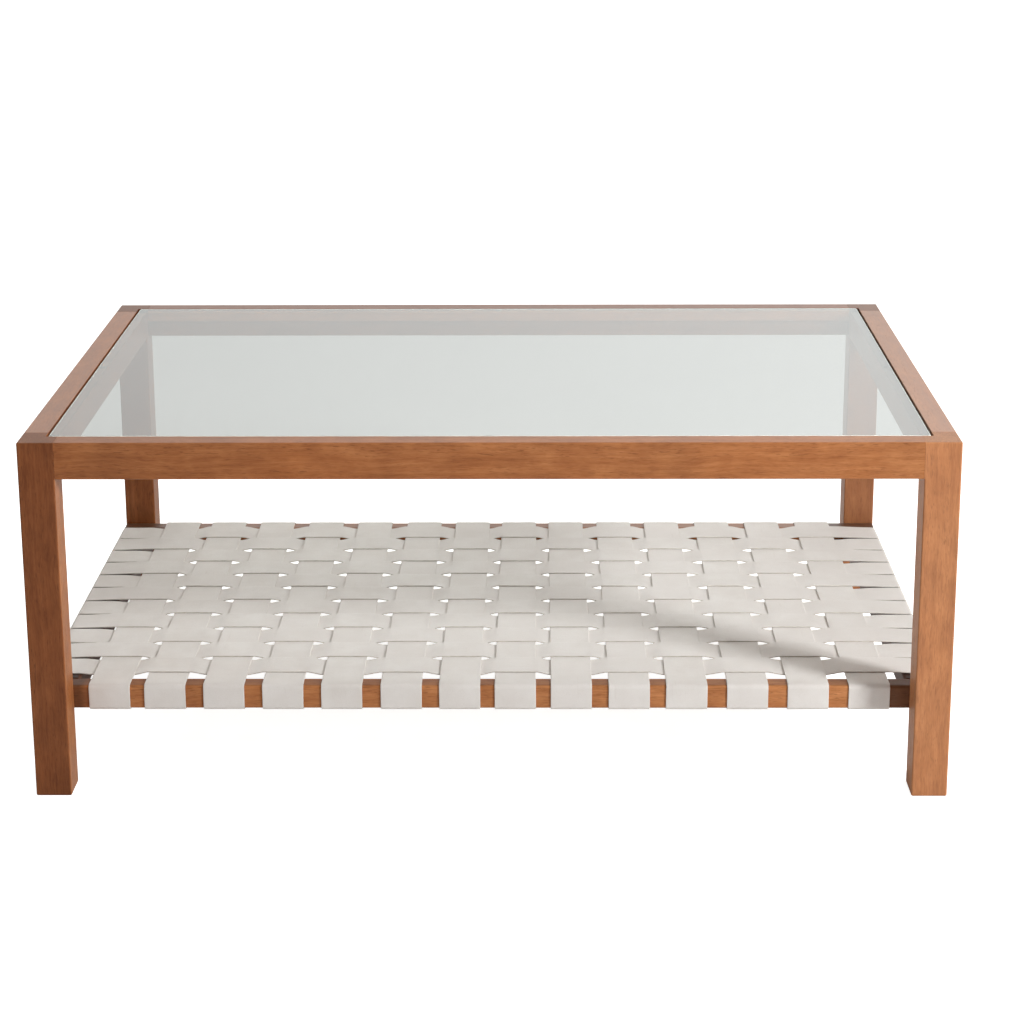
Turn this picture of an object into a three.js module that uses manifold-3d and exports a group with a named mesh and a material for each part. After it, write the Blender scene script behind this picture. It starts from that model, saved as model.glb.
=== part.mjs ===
// Low table of solid hardwood: a glass pane let into the top frame, and a shelf of woven leather straps.
// Millimetres, +Z up. The origin is on the floor under the middle of the table, and the front faces -Y.

import * as THREE from 'three';
import { mergeVertices } from 'three/addons/utils/BufferGeometryUtils.js';
import Module from 'manifold-3d';

const wasm = await Module();
wasm.setup();

// Whole table
const tableWidth = 1100;
const tableDepth = 710;
const tableHeight = 445;

// Legs, and the easing of every sharp edge of the frame
const legSide = 43;
const edgeRadius = 2;

// Top frame: thin aprons at the front and back, and end rails as thick as a leg
const apronHeight = 45;
const apronThickness = 27;
const endRailLand = 29.5;

// Tenons of the aprons and end rails
const tenonLength = 18;
const tenonThickness = 10;
const tenonHeight = 24;
const tenonFoot = 8;
const mortiseSpare = 1;
const fitGap = 0.3;

// Glass pane, the pads it lies on, and the cleats that carry its long sides
const glassThickness = 6;
const glassCornerRadius = 2;
const glassArris = 0.6;
const glassEndGap = 3;
const glassLongGap = 1;
const padThickness = 1;
const padRadius = 4.5;
const cleatDepth = 11;
const cleatHeight = 14;
const cleatEndGap = 0.5;

// Shelf frame
const shelfTop = 125;
const shelfRailHeight = 30;
const shelfRailDepth = 25.5;
const endShelfRailWidth = 44;
const shelfEdgeRadius = 4;
const shelfTenonLength = 9;
const shelfTenonHeight = 12;
const shelfTenonSideShoulder = 10;

// Dowels that pin the shelf frame to the legs
const dowelRadius = 4;
const dowelInLeg = 18;
const dowelInRail = 12;
const dowelSpacing = 21;

// Leather straps and their weave
const warpWidth = 50;
const weftWidth = 47;
const strapThickness = 1.4;
const strapGap = 0.3;
const warpLeastSpacing = 20;
const warpSideSpace = 18;
const warpRowShift = -2.3;
const weftLeastSpacing = 3;
const weftFrontSpace = 12;
const weftBackSpace = 2;
const weftLiftSpace = 5;
const weaveEdgeRoom = 0.5;
const warpUnderRun = 20;
const weftUnderRun = 34;

// How far each warp strap has slipped to the left along the rail, as a share of the even spacing
const warpSlipShares = [0, 0.05, 0.04, 0.03, 0.02, 0, 0, 0.05, 0.09, 0.1, 0.12, 0.08, 0.05, 0.01];

// Where a bend of a strap gets its control points, as a share of the run of that bend
const bendShare = 0.25;

// One overrun serves every cut and every root of a tenon
const overrun = 2;

// Steps of each kind of curve
const arcSteps = 3;
const bendSteps = 3;
const padSides = 16;
const dowelSides = 12;

// Sizes that follow from those above
const halfLeg = legSide / 2;
const legCentreX = tableWidth / 2 - halfLeg;
const legCentreY = tableDepth / 2 - halfLeg;
const frameBottom = tableHeight - apronHeight;
const rebateDepth = glassThickness + padThickness;
const rebateFloor = tableHeight - rebateDepth;
const rebateWidth = legSide - endRailLand;
const apronLength = tableWidth - 2 * legSide;
const endRailLength = tableDepth - 2 * legSide;
const glassWidth = tableWidth - 2 * (endRailLand + glassEndGap);
const glassDepth = tableDepth - 2 * (apronThickness + glassLongGap);

const shelfBottom = shelfTop - shelfRailHeight;
const strapOffset = strapGap + strapThickness / 2;
const shelfHalfWidth = tableWidth / 2 - strapGap - strapThickness;
const shelfHalfDepth = tableDepth / 2 - legSide;
const clearHalfWidth = shelfHalfWidth - endShelfRailWidth;
const clearHalfDepth = shelfHalfDepth - shelfRailDepth;
const shelfTenonWidth = endShelfRailWidth - 2 * shelfTenonSideShoulder;
const shelfTenonFoot = (shelfRailHeight - shelfTenonHeight) / 2;

const warpSpan = 2 * (clearHalfWidth - warpSideSpace);
const warpCount = Math.floor((warpSpan + warpLeastSpacing) / (warpWidth + warpLeastSpacing));
const warpPitch = (warpSpan - warpWidth) / (warpCount - 1);
const weftSpan = 2 * clearHalfDepth - weftFrontSpace - weftBackSpace;
const weftCount = Math.floor((weftSpan + weftLeastSpacing) / (weftWidth + weftLeastSpacing));
const weftPitch = (weftSpan - weftWidth) / (weftCount - 1);

// Heights of a strap's centre line: on the rails, over a warp and under a warp
const railLevel = shelfTop + strapOffset;
const overLevel = railLevel + strapThickness + strapGap;
const underLevel = railLevel - strapThickness - strapGap;

const hardwood = { color: 0x9a5f3c, roughness: 0.5, metalness: 0 };
const softwood = { color: 0xc9a274, roughness: 0.7, metalness: 0 };
const glazing = { color: 0xd6e2de, roughness: 0.03, metalness: 0, transparent: true, opacity: 0.35 };
const clearRubber = { color: 0xe2e4e2, roughness: 0.4, metalness: 0 };
const leather = { color: 0xd6cec7, roughness: 0.75, metalness: 0 };

const table = new THREE.Group();

// Solids and geometries

function toSolid(geometry) {
  const bare = geometry.clone();
  bare.deleteAttribute('normal');
  bare.deleteAttribute('uv');
  const merged = mergeVertices(bare);
  return new wasm.Manifold(new wasm.Mesh({
    numProp: 3,
    vertProperties: new Float32Array(merged.attributes.position.array),
    triVerts: new Uint32Array(merged.index.array),
  }));
}

function toGeometry(solid) {
  const mesh = solid.getMesh();
  const geometry = new THREE.BufferGeometry();
  geometry.setAttribute('position', new THREE.BufferAttribute(mesh.vertProperties, mesh.numProp));
  geometry.setIndex(new THREE.BufferAttribute(mesh.triVerts, 1));
  geometry.computeVertexNormals();
  return geometry;
}

// A block between two corners, whichever way round they are given.
function block(from, to) {
  const a = new THREE.Vector3(...from);
  const b = new THREE.Vector3(...to);
  const size = b.clone().sub(a);
  const geometry = new THREE.BoxGeometry(Math.abs(size.x), Math.abs(size.y), Math.abs(size.z));
  return toSolid(geometry.translate(...a.add(b).divideScalar(2).toArray()));
}

// The points of a quarter circle, counter-clockwise from a start angle.
function quarterCircle(centre, radius, start) {
  const angles = Array.from({ length: arcSteps + 1 }, (_, step) => start + (Math.PI / 2) * (step / arcSteps));
  return angles.map((angle) => new THREE.Vector2(radius, 0).rotateAround(new THREE.Vector2(), angle).add(centre));
}

// A right-angled outline, counter-clockwise. Each corner is [across, up, radius], square where radius is 0.
function outline(corners) {
  return new THREE.Shape(corners.flatMap(([x, y, radius], i) => {
    const corner = new THREE.Vector2(x, y);
    if (radius === 0) {
      return [corner];
    }
    const before = new THREE.Vector2(...corners.at(i - 1)).sub(corner).setLength(radius);
    const after = new THREE.Vector2(...corners[(i + 1) % corners.length]).sub(corner).setLength(radius);
    const centre = corner.add(before).add(after);
    return quarterCircle(centre, radius, after.negate().angle());
  }));
}

// The same corners seen in a mirror when side is -1, still counter-clockwise.
function mirrored(corners, side) {
  if (side > 0) {
    return corners;
  }
  return corners.map(([x, y, radius]) => [-x, y, radius]).reverse();
}

// Extrusions centred on their own axis. An outline for X is drawn in Y and Z, one for Y in X and Z.
function extrude(shape, length) {
  return new THREE.ExtrudeGeometry(shape, { depth: length, bevelEnabled: false }).translate(0, 0, -length / 2);
}

const xAxis = new THREE.Vector3(1, 0, 0);
const yAxis = new THREE.Vector3(0, 1, 0);
const zAxis = new THREE.Vector3(0, 0, 1);
const turnToX = new THREE.Matrix4().makeBasis(yAxis, zAxis, xAxis);
const turnToY = new THREE.Matrix4().makeBasis(xAxis, zAxis, yAxis.clone().negate());

function extrudeAlongX(shape, length) {
  return extrude(shape, length).applyMatrix4(turnToX);
}

function extrudeAlongY(shape, length) {
  return extrude(shape, length).applyMatrix4(turnToY);
}

function addPiece(name, geometry, material, x, y, z) {
  const mesh = new THREE.Mesh(geometry, new THREE.MeshStandardMaterial(material));
  mesh.name = name;
  mesh.position.set(x, y, z);
  table.add(mesh);
}

// The two ends and the two long sides of the table, with the sign of each.
const ends = [['left', -1], ['right', 1]];
const longSides = [['front', -1], ['back', 1]];

// Legs

// A leg's section has its outer corner at (endSide, longSide). Where rails meet it, only that one is eased.
function legSection(endSide, longSide, innerRadius) {
  const corners = [[-1, -1], [1, -1], [1, 1], [-1, 1]];
  return outline(corners.map(([sx, sy]) => {
    const isOuter = sx === endSide && sy === longSide;
    return [sx * halfLeg, sy * halfLeg, isOuter ? edgeRadius : innerRadius];
  }));
}

// A block as high as the table, whose upper outer edge is eased. It trims the top of a leg.
function topTrim(side) {
  return outline(mirrored([
    [-legSide, -overrun, 0],
    [halfLeg, -overrun, 0],
    [halfLeg, tableHeight, edgeRadius],
    [-legSide, tableHeight, 0],
  ], side));
}

function dowelHoleAxis(side) {
  return side * dowelSpacing / 2;
}

function legGeometry(endSide, longSide) {
  const shaft = extrude(legSection(endSide, longSide, edgeRadius), frameBottom)
    .translate(0, 0, frameBottom / 2);
  const head = extrude(legSection(endSide, longSide, 0), apronHeight)
    .translate(0, 0, frameBottom + apronHeight / 2);
  let leg = toSolid(shaft).add(toSolid(head));
  leg = leg.intersect(toSolid(extrudeAlongY(topTrim(endSide), 2 * legSide)));
  leg = leg.intersect(toSolid(extrudeAlongX(topTrim(longSide), 2 * legSide)));

  // The corner of the glass is let into the inner corner of the leg's top
  const notchX = endSide * (halfLeg - endRailLand);
  const notchY = longSide * (halfLeg - apronThickness);
  leg = leg.subtract(block(
    [notchX, notchY, rebateFloor],
    [-endSide * legSide, -longSide * legSide, tableHeight + overrun],
  ));

  // Mortise for the apron, along X
  const mortiseDepth = tenonLength + mortiseSpare;
  const halfMortise = tenonThickness / 2 + fitGap;
  const mortiseBottom = frameBottom + tenonFoot - fitGap;
  const mortiseTop = frameBottom + tenonFoot + tenonHeight + fitGap;
  const apronY = longSide * (halfLeg - apronThickness / 2);
  leg = leg.subtract(block(
    [-endSide * (halfLeg + overrun), apronY - halfMortise, mortiseBottom],
    [-endSide * (halfLeg - mortiseDepth), apronY + halfMortise, mortiseTop],
  ));

  // Mortise for the end rail, along Y
  const railX = endSide * (halfLeg - endRailLand / 2);
  leg = leg.subtract(block(
    [railX - halfMortise, -longSide * (halfLeg + overrun), mortiseBottom],
    [railX + halfMortise, -longSide * (halfLeg - mortiseDepth), mortiseTop],
  ));

  // Two holes for the dowels of the shelf frame
  const holeDepth = dowelInLeg + mortiseSpare;
  for (const side of [-1, 1]) {
    const hole = new THREE.CylinderGeometry(dowelRadius + fitGap, dowelRadius + fitGap,
      holeDepth + overrun, dowelSides);
    hole.translate(dowelHoleAxis(side), -longSide * (halfLeg - (holeDepth - overrun) / 2), dowelHeight);
    leg = leg.subtract(toSolid(hole));
  }
  return toGeometry(leg);
}

const dowelHeight = shelfBottom + shelfRailHeight / 2;

for (const [endName, endSide] of ends) {
  for (const [sideName, longSide] of longSides) {
    addPiece(`leg_${sideName}_${endName}`, legGeometry(endSide, longSide), hardwood,
      endSide * legCentreX, longSide * legCentreY, 0);
  }
}

// Aprons

function apronGeometry(longSide) {
  const half = apronThickness / 2;
  const profile = outline(mirrored([
    [-half, 0, edgeRadius],
    [half, 0, edgeRadius],
    [half, apronHeight, edgeRadius],
    [-half, apronHeight, 0],
  ], longSide));
  let apron = toSolid(extrudeAlongX(profile, apronLength));
  for (const side of [-1, 1]) {
    apron = apron.add(block(
      [side * (apronLength / 2 - overrun), -tenonThickness / 2, tenonFoot],
      [side * (apronLength / 2 + tenonLength), tenonThickness / 2, tenonFoot + tenonHeight],
    ));
  }
  return toGeometry(apron);
}

for (const [name, side] of longSides) {
  addPiece(`apron_${name}`, apronGeometry(side), hardwood,
    0, side * (tableDepth / 2 - apronThickness / 2), frameBottom);
}

// End rails, rebated for the glass

function endRailGeometry(endSide) {
  const profile = outline(mirrored([
    [-halfLeg, 0, edgeRadius],
    [halfLeg, 0, edgeRadius],
    [halfLeg, apronHeight, edgeRadius],
    [rebateWidth - halfLeg, apronHeight, 0],
    [rebateWidth - halfLeg, apronHeight - rebateDepth, 0],
    [-halfLeg, apronHeight - rebateDepth, 0],
  ], endSide));
  let rail = toSolid(extrudeAlongY(profile, endRailLength));
  const tenonX = endSide * (halfLeg - endRailLand / 2);
  for (const side of [-1, 1]) {
    rail = rail.add(block(
      [tenonX - tenonThickness / 2, side * (endRailLength / 2 - overrun), tenonFoot],
      [tenonX + tenonThickness / 2, side * (endRailLength / 2 + tenonLength), tenonFoot + tenonHeight],
    ));
  }
  return toGeometry(rail);
}

for (const [name, side] of ends) {
  addPiece(`end_rail_${name}`, endRailGeometry(side), hardwood, side * legCentreX, 0, frameBottom);
}

// Glass pane with rounded corners and ground edges

function glassGeometry() {
  const halfWidth = glassWidth / 2;
  const halfDepth = glassDepth / 2;
  const pane = outline([
    [-halfWidth, -halfDepth, glassCornerRadius],
    [halfWidth, -halfDepth, glassCornerRadius],
    [halfWidth, halfDepth, glassCornerRadius],
    [-halfWidth, halfDepth, glassCornerRadius],
  ]);
  return new THREE.ExtrudeGeometry(pane, {
    depth: glassThickness - 2 * glassArris,
    bevelEnabled: true,
    bevelThickness: glassArris,
    bevelSize: glassArris,
    bevelOffset: -glassArris,
    bevelSegments: 1,
  }).translate(0, 0, glassArris);
}

addPiece('glass_top', glassGeometry(), glazing, 0, 0, tableHeight - glassThickness);

// Cleats along the aprons, level with the rebates of the end rails

for (const [name, side] of longSides) {
  const half = cleatDepth / 2;
  const profile = outline(mirrored([
    [-half, 0, edgeRadius],
    [half, 0, 0],
    [half, cleatHeight, 0],
    [-half, cleatHeight, 0],
  ], side));
  addPiece(`glass_cleat_${name}`, extrudeAlongX(profile, apronLength - 2 * cleatEndGap), hardwood,
    0, side * (tableDepth / 2 - apronThickness - half), rebateFloor - cleatHeight);
}

// Pads under the glass: one at each corner and one at the middle of each side

function padGeometry() {
  return new THREE.CylinderGeometry(padRadius, padRadius, padThickness, padSides).rotateX(Math.PI / 2);
}

const padX = (tableWidth / 2 - legSide + glassWidth / 2) / 2;
const padY = (tableDepth / 2 - legSide + glassDepth / 2) / 2;
const midPadY = tableDepth / 2 - apronThickness - cleatDepth / 2;

function addPad(name, x, y) {
  addPiece(`glass_pad_${name}`, padGeometry(), clearRubber, x, y, rebateFloor + padThickness / 2);
}

for (const [endName, endSide] of ends) {
  for (const [sideName, longSide] of longSides) {
    addPad(`${sideName}_${endName}`, endSide * padX, longSide * padY);
  }
  addPad(endName, endSide * padX, 0);
}
for (const [name, side] of longSides) {
  addPad(name, 0, side * midPadY);
}

// Shelf frame: long rails behind and before the legs, and end rails between them

function roundedBar(width, height) {
  return outline([
    [-width / 2, 0, shelfEdgeRadius],
    [width / 2, 0, shelfEdgeRadius],
    [width / 2, height, shelfEdgeRadius],
    [-width / 2, height, shelfEdgeRadius],
  ]);
}

function longShelfRailGeometry(longSide) {
  let rail = toSolid(extrudeAlongX(roundedBar(shelfRailDepth, shelfRailHeight), 2 * shelfHalfWidth));
  const half = shelfRailDepth / 2;
  const holeDepth = dowelInRail + mortiseSpare;
  for (const end of [-1, 1]) {
    // Mortise for the end rail of the shelf
    const middle = end * (shelfHalfWidth - endShelfRailWidth / 2);
    const halfMortise = shelfTenonWidth / 2 + fitGap;
    rail = rail.subtract(block(
      [middle - halfMortise, -longSide * (half + overrun), shelfTenonFoot - fitGap],
      [middle + halfMortise, -longSide * (half - shelfTenonLength - fitGap),
        shelfTenonFoot + shelfTenonHeight + fitGap],
    ));
    for (const side of [-1, 1]) {
      const hole = new THREE.CylinderGeometry(dowelRadius + fitGap, dowelRadius + fitGap,
        holeDepth + overrun, dowelSides);
      hole.translate(end * legCentreX + dowelHoleAxis(side), longSide * (half - (holeDepth - overrun) / 2),
        shelfRailHeight / 2);
      rail = rail.subtract(toSolid(hole));
    }
  }
  return toGeometry(rail);
}

for (const [name, side] of longSides) {
  addPiece(`shelf_rail_${name}`, longShelfRailGeometry(side), hardwood,
    0, side * (shelfHalfDepth - shelfRailDepth / 2), shelfBottom);
}

function endShelfRailGeometry() {
  let rail = toSolid(extrudeAlongY(roundedBar(endShelfRailWidth, shelfRailHeight), 2 * clearHalfDepth));
  for (const side of [-1, 1]) {
    rail = rail.add(block(
      [-shelfTenonWidth / 2, side * (clearHalfDepth - overrun), shelfTenonFoot],
      [shelfTenonWidth / 2, side * (clearHalfDepth + shelfTenonLength), shelfTenonFoot + shelfTenonHeight],
    ));
  }
  return toGeometry(rail);
}

for (const [name, side] of ends) {
  addPiece(`shelf_rail_${name}`, endShelfRailGeometry(), hardwood,
    side * (shelfHalfWidth - endShelfRailWidth / 2), 0, shelfBottom);
}

// Dowels between each leg and the shelf frame

for (const [endName, endSide] of ends) {
  for (const [sideName, longSide] of longSides) {
    for (const side of [-1, 1]) {
      const place = side === endSide ? 'outer' : 'inner';
      addPiece(`shelf_dowel_${sideName}_${endName}_${place}`,
        new THREE.CylinderGeometry(dowelRadius, dowelRadius, dowelInLeg + dowelInRail, dowelSides), softwood,
        endSide * legCentreX + dowelHoleAxis(side),
        longSide * (shelfHalfDepth + (dowelInLeg - dowelInRail) / 2), dowelHeight);
    }
  }
}

// Straps

// The closed side view of a band of even thickness along a centre line.
function bandOutline(centreLine) {
  const upper = [];
  const lower = [];
  centreLine.forEach((point, i) => {
    const from = centreLine[Math.max(i - 1, 0)];
    const to = centreLine[Math.min(i + 1, centreLine.length - 1)];
    const inward = point.clone().sub(i === 0 ? to : from).normalize().multiplyScalar(i === 0 ? -1 : 1);
    const outward = to.clone().sub(point).normalize();
    const along = inward.clone().add(outward).normalize();
    const reach = strapThickness / 2 / along.dot(inward);
    const across = new THREE.Vector2(-along.y, along.x).multiplyScalar(reach);
    upper.push(point.clone().add(across));
    lower.unshift(point.clone().sub(across));
  });
  return new THREE.Shape([...upper, ...lower]);
}

// The centre line of a strap that is folded down and under a rail at each end. A rail's outer face is
// halfSpan from the middle. The strap leaves one rail at from, crossing draws it as far as the other, and
// it lies on that one from to onwards.
function strapLine(halfSpan, underRun, from, to, crossing) {
  const arcX = halfSpan - shelfEdgeRadius;
  const lowArc = shelfBottom + shelfEdgeRadius;
  const highArc = shelfTop - shelfEdgeRadius;
  const foldRadius = shelfEdgeRadius + strapOffset;
  const line = new THREE.Path();
  line.moveTo(underRun - halfSpan, shelfBottom - strapOffset);
  line.lineTo(-arcX, lowArc - foldRadius);
  line.absarc(-arcX, lowArc, foldRadius, -Math.PI / 2, -Math.PI, true);
  line.absarc(-arcX, highArc, foldRadius, Math.PI, Math.PI / 2, true);
  line.lineTo(from, railLevel);
  crossing(line);
  line.lineTo(to, railLevel);
  line.absarc(arcX, highArc, foldRadius, Math.PI / 2, 0, true);
  line.absarc(arcX, lowArc, foldRadius, 0, -Math.PI / 2, true);
  line.lineTo(halfSpan - underRun, shelfBottom - strapOffset);
  return line.getPoints(bendSteps);
}

// A gentle S-bend from the end of the line to a new place, level at both ends.
function bendTo(line, x, z) {
  const start = line.currentPoint;
  const run = bendShare * (x - start.x);
  line.bezierCurveTo(start.x + run, start.y, x - run, z, x, z);
}

// Warp straps run from front to back and lie flat on the long rails

function warpCentre(index) {
  const even = (index - (warpCount - 1) / 2) * warpPitch;
  return warpRowShift + even - warpSlipShares[index % warpSlipShares.length] * warpPitch;
}

function strapNumber(index) {
  return String(index + 1).padStart(2, '0');
}

for (let i = 0; i < warpCount; i += 1) {
  const line = strapLine(shelfHalfDepth, warpUnderRun, -clearHalfDepth, clearHalfDepth, () => {});
  addPiece(`warp_strap_${strapNumber(i)}`, extrudeAlongX(bandOutline(line), warpWidth), leather,
    warpCentre(i), 0, 0);
}

// Weft straps run from end to end, over one warp and under the next. The first is the one at the back.

function goesOver(row, warp) {
  return (row + warp) % 2 === 1;
}

// Where a weft lifts off an end rail of the shelf, from the middle. One that goes over the outermost warp
// rises all the way from the rail's outer edge, and one that goes under it lies flat to the inner edge.
function liftPlace(row, warp) {
  if (goesOver(row, warp)) {
    return shelfHalfWidth - shelfEdgeRadius - weftLiftSpace;
  }
  return clearHalfWidth + shelfEdgeRadius;
}

function weftLine(row) {
  const half = warpWidth / 2 + weaveEdgeRoom;
  const from = -liftPlace(row, 0);
  const to = liftPlace(row, warpCount - 1);
  return strapLine(shelfHalfWidth, weftUnderRun, from, to, (line) => {
    for (let i = 0; i < warpCount; i += 1) {
      const level = goesOver(row, i) ? overLevel : underLevel;
      bendTo(line, warpCentre(i) - half, level);
      line.lineTo(warpCentre(i) + half, level);
    }
    bendTo(line, to, railLevel);
  });
}

for (let row = 0; row < weftCount; row += 1) {
  const y = clearHalfDepth - weftBackSpace - weftWidth / 2 - row * weftPitch;
  addPiece(`weft_strap_${strapNumber(row)}`, extrudeAlongY(bandOutline(weftLine(row)), weftWidth), leather,
    0, y, 0);
}

export default table;
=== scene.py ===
import math
import random

import bmesh
import bpy
import numpy as np
from mathutils import Matrix, Vector


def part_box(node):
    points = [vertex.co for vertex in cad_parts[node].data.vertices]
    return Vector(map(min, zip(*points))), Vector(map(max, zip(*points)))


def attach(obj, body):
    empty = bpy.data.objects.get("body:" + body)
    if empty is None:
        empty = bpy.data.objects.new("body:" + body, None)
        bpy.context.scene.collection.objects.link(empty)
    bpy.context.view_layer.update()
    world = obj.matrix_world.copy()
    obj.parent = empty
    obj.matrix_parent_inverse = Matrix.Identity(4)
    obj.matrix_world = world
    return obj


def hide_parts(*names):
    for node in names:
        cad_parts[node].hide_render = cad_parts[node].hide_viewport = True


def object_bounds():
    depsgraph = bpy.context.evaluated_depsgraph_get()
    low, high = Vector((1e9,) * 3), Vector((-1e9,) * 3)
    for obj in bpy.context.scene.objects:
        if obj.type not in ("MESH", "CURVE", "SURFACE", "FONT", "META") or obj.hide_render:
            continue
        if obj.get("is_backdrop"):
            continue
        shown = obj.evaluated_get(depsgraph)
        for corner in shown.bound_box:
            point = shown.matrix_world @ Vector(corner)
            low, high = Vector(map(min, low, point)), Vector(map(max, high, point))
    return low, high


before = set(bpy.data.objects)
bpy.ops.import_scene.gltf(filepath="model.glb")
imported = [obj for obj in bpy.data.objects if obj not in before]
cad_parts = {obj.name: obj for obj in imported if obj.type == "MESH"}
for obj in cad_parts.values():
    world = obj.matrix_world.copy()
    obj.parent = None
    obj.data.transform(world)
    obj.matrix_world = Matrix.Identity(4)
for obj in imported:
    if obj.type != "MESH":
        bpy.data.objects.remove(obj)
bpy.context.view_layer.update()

MM = 0.001
scene = bpy.context.scene

# Camera
# The picture is 1024 pixels square. The camera stands before the table, a little to the right.
PICTURE = 1024
SENSOR = 36.0
FOCAL_PIXELS = 2316.43
CAMERA_PLACE = (0.0568, -2.9335, 1.2076)
CAMERA_PITCH = 0.25121
CAMERA_YAW = -0.01123
CAMERA_ROLL = -0.00403
CAMERA_SHIFT = -0.15
CAMERA_NEAR, CAMERA_FAR = 0.05, 100.0


def make_camera():
    data = bpy.data.cameras.new("camera")
    data.sensor_width = SENSOR
    data.lens = SENSOR * FOCAL_PIXELS / PICTURE
    data.shift_y = CAMERA_SHIFT
    data.clip_start, data.clip_end = CAMERA_NEAR, CAMERA_FAR
    camera = bpy.data.objects.new("camera", data)
    right = Vector((math.cos(CAMERA_YAW), -math.sin(CAMERA_YAW), 0))
    level = Vector((math.sin(CAMERA_YAW), math.cos(CAMERA_YAW), 0))
    above = Vector((0, 0, 1))
    forward = level * math.cos(CAMERA_PITCH) - above * math.sin(CAMERA_PITCH)
    up = above * math.cos(CAMERA_PITCH) + level * math.sin(CAMERA_PITCH)
    x_axis = right * math.cos(CAMERA_ROLL) + up * math.sin(CAMERA_ROLL)
    y_axis = up * math.cos(CAMERA_ROLL) - right * math.sin(CAMERA_ROLL)
    turn = Matrix((x_axis, y_axis, -forward)).transposed().to_4x4()
    camera.matrix_world = Matrix.Translation(CAMERA_PLACE) @ turn
    scene.collection.objects.link(camera)
    scene.camera = camera


make_camera()


# Shader nodes
class Shader:
    """A material's node tree, with short calls for the nodes used here."""

    def __init__(self, tree):
        self.tree = tree
        self.tree.nodes.clear()

    def add(self, kind, inputs=(), **settings):
        node = self.tree.nodes.new(kind)
        for key, value in settings.items():
            setattr(node, key, value)
        for key, value in dict(inputs).items():
            self.put(node.inputs[key], value)
        return node

    def put(self, socket, value):
        if isinstance(value, bpy.types.NodeSocket):
            self.tree.links.new(value, socket)
        else:
            socket.default_value = value

    def math(self, operation, a, b=0.0, c=0.0, clamp=False):
        node = self.add("ShaderNodeMath", operation=operation, use_clamp=clamp)
        for socket, value in zip(node.inputs, (a, b, c)):
            self.put(socket, value)
        return node.outputs[0]

    def vector(self, operation, a, b=(0, 0, 0)):
        node = self.add("ShaderNodeVectorMath", operation=operation)
        self.put(node.inputs[0], a)
        self.put(node.inputs["Scale" if operation == "SCALE" else 1], b)
        return node.outputs["Value" if operation in ("LENGTH", "DOT_PRODUCT") else "Vector"]

    def summed(self, terms):
        """The sum of sockets, each with its share."""
        total = None
        for share, socket in terms:
            term = self.math("MULTIPLY", socket, share)
            total = term if total is None else self.math("ADD", total, term)
        return total

    def noise(self, place, scale, detail=3.0, roughness=0.55, distortion=0.0, dimensions="3D"):
        return self.add("ShaderNodeTexNoise", {
            "W" if dimensions == "1D" else "Vector": place, "Scale": scale, "Detail": detail,
            "Roughness": roughness, "Distortion": distortion,
        }, noise_dimensions=dimensions).outputs["Fac"]

    def spread(self, value, low, high, to_low=0.0, to_high=1.0, smooth=False):
        kind = "SMOOTHSTEP" if smooth else "LINEAR"
        return self.add("ShaderNodeMapRange", {
            "Value": value, "From Min": low, "From Max": high, "To Min": to_low, "To Max": to_high,
        }, interpolation_type=kind).outputs["Result"]

    def mix(self, factor, a, b):
        node = self.add("ShaderNodeMix", data_type="RGBA")
        self.put(node.inputs[0], factor)
        for socket, value in zip((node.inputs[6], node.inputs[7]), (a, b)):
            self.put(socket, value if isinstance(value, bpy.types.NodeSocket) else (*value, 1.0))
        return node.outputs[2]

    def ramp(self, factor, stops):
        node = self.add("ShaderNodeValToRGB", {"Fac": factor})
        band = node.color_ramp
        while len(band.elements) < len(stops):
            band.elements.new(0.5)
        for element, (place, colour) in zip(band.elements, stops):
            element.position = place
            element.color = (*colour, 1.0)
        return node.outputs["Color"]

    def bump(self, height, distance, strength=1.0, normal=None):
        node = self.add("ShaderNodeBump", {
            "Height": height, "Distance": distance, "Strength": strength})
        if normal is not None:
            self.put(node.inputs["Normal"], normal)
        return node.outputs["Normal"]

    def principled(self, inputs):
        shader = self.add("ShaderNodeBsdfPrincipled", inputs)
        self.finish(shader.outputs["BSDF"])

    def finish(self, surface):
        output = self.add("ShaderNodeOutputMaterial")
        self.tree.links.new(surface, output.inputs["Surface"])


def new_material(name):
    material = bpy.data.materials.new(name)
    material.use_nodes = True
    return material, Shader(material.node_tree)


# Hardwood
# Colours of the fibres, from the darkest to the palest
WOOD_DARK = (0.228, 0.074, 0.024)
WOOD_MID = (0.357, 0.129, 0.044)
WOOD_PALE = (0.493, 0.201, 0.077)
# Colours of what changes them from place to place
CLOUD = (0.380, 0.112, 0.027)
PORE = (0.095, 0.030, 0.011)
FLECK = (0.170, 0.053, 0.018)
END_DARK = (0.190, 0.070, 0.026)
END_PALE = (0.460, 0.200, 0.085)
RUBBED = (0.470, 0.185, 0.066)
GREYED_PALE = (0.56, 0.38, 0.28)
# A pale painted sheen for the tops
TOP_SHEEN_PAINT = (0.46, 0.29, 0.22)
# Painted shade for the walls of the glass's recess, for the shelf rails under the straps and for
# the rails' ends beside the legs
RECESS_SHADE_COLOUR = (0.040, 0.018, 0.014)
UNDER_STRAP_SHADE = (0.035, 0.018, 0.012)
LEG_SHADE_ON_RAILS = (0.030, 0.013, 0.009)
PORE_SHARE, END_SHARE, RUBBED_SHARE, TOP_SHEEN_SHARE = 0.46, 0.72, 0.40, 0.20
# Noise drawn out along the fibres: scale across, scale along, detail, roughness
FIBRES = {
    "streaks": (380.0, 11.0, 4.0, 0.6),
    "fine": (1100.0, 75.0, 2.0, 0.6),
    "ribbon": (62.0, 17.0, 4.0, 0.6),
    "pores": (1000.0, 95.0, 1.0, 0.5),
    "flecks": (560.0, 60.0, 1.0, 0.6),
    "shades": (44.0, 26.0, 3.0, 0.6),
}
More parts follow.
